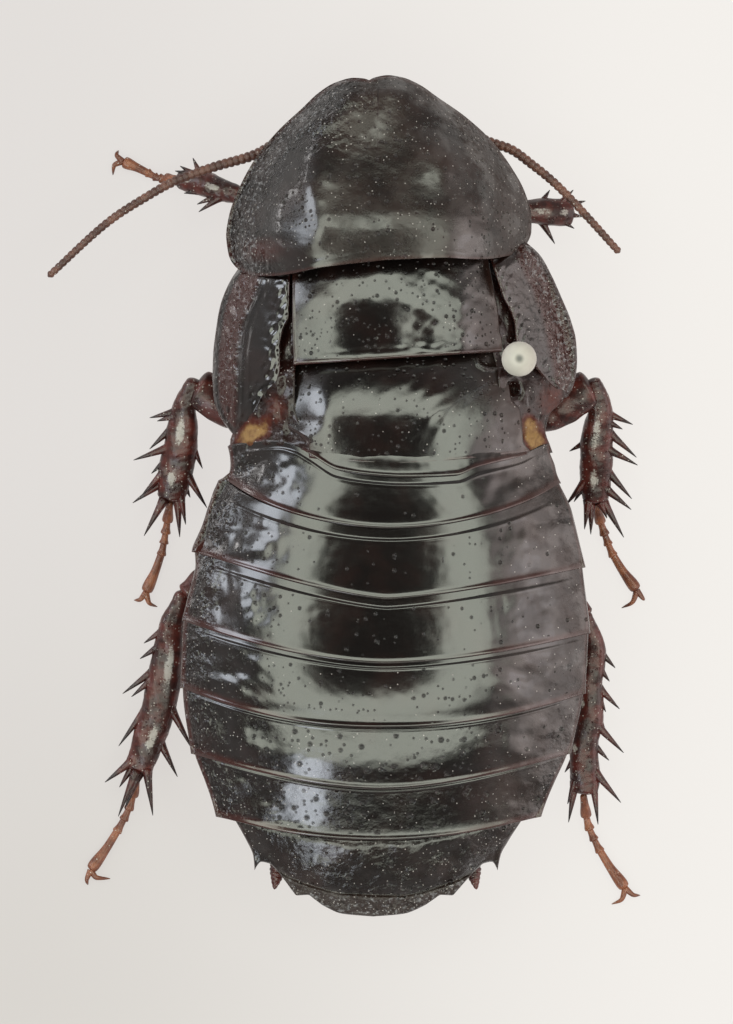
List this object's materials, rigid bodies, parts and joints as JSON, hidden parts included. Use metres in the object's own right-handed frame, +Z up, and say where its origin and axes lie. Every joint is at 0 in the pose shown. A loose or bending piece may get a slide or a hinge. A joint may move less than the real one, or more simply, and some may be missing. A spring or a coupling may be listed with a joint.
{
  "type": "pinned cockroach specimen",
  "caption": "Wood-feeding cockroach, a pinned and dried museum specimen at life size, with hooded shield, ringed abdomen, spiny legs and beaded feelers.",
  "frame": {"origin": "on the floor under the centre of the whole model's box", "axes": "+Z up, +Y along the body towards the head, +X towards the animal's right side"},
  "size_m": [0.0214, 0.03, 0.0162],
  "materials": {
    "black_cuticle": "very glossy blackish-brown cuticle with fine punctures and reddish edges",
    "dark_red_cuticle": "glossy dark red-brown cuticle",
    "red_brown_cuticle": "glossy red-brown cuticle, darker at the edges",
    "tan_cuticle": "orange-brown satin cuticle",
    "feeler_cuticle": "brown satin cuticle with fine down",
    "soft_cuticle": "soft orange membrane",
    "eye_surface": "black, finely faceted",
    "white_nylon": "white nylon",
    "pin_steel": "polished steel wire"
  },
  "bodies": {
    "root": {"abdomen_1": "black_cuticle", "abdomen_2": "black_cuticle", "abdomen_3": "black_cuticle", "abdomen_4": "black_cuticle", "abdomen_5": "black_cuticle", "abdomen_6": "black_cuticle", "abdomen_7": "black_cuticle", "antenna_left": "feeler_cuticle", "antenna_right": "feeler_cuticle", "cercus_left": "red_brown_cuticle", "cercus_right": "red_brown_cuticle", "coxa_fore_left": "dark_red_cuticle", "coxa_fore_right": "dark_red_cuticle", "coxa_hind_left": "dark_red_cuticle", "coxa_hind_right": "dark_red_cuticle", "coxa_mid_left": "dark_red_cuticle", "coxa_mid_right": "dark_red_cuticle", "eye_left": "eye_surface", "eye_right": "eye_surface", "femur_fore_left": "dark_red_cuticle", "femur_fore_right": "dark_red_cuticle", "femur_hind_left": "dark_red_cuticle", "femur_hind_right": "dark_red_cuticle", "femur_mid_left": "dark_red_cuticle", "femur_mid_right": "dark_red_cuticle", "head": "black_cuticle", "mesonotum": "black_cuticle", "mesothorax": "dark_red_cuticle", "metanotum": "black_cuticle", "metathorax": "dark_red_cuticle", "mouthparts": "feeler_cuticle", "neck": "soft_cuticle", "palp_left": "feeler_cuticle", "palp_right": "feeler_cuticle", "pin_head": "white_nylon", "pin_point": "pin_steel", "pin_shaft": "pin_steel", "pronotum": "black_cuticle", "prothorax": "dark_red_cuticle", "subgenital_plate": "dark_red_cuticle", "supra_anal_plate": "black_cuticle", "tarsus_fore_left": "tan_cuticle", "tarsus_fore_right": "tan_cuticle", "tarsus_hind_left": "tan_cuticle", "tarsus_hind_right": "tan_cuticle", "tarsus_mid_left": "tan_cuticle", "tarsus_mid_right": "tan_cuticle", "tegmen_left": "black_cuticle", "tegmen_right": "black_cuticle", "tibia_fore_left": "red_brown_cuticle", "tibia_fore_right": "red_brown_cuticle", "tibia_hind_left": "red_brown_cuticle", "tibia_hind_right": "red_brown_cuticle", "tibia_mid_left": "red_brown_cuticle", "tibia_mid_right": "red_brown_cuticle", "wing_stub_left": "soft_cuticle", "wing_stub_right": "soft_cuticle"}
  },
  "joints": []
}
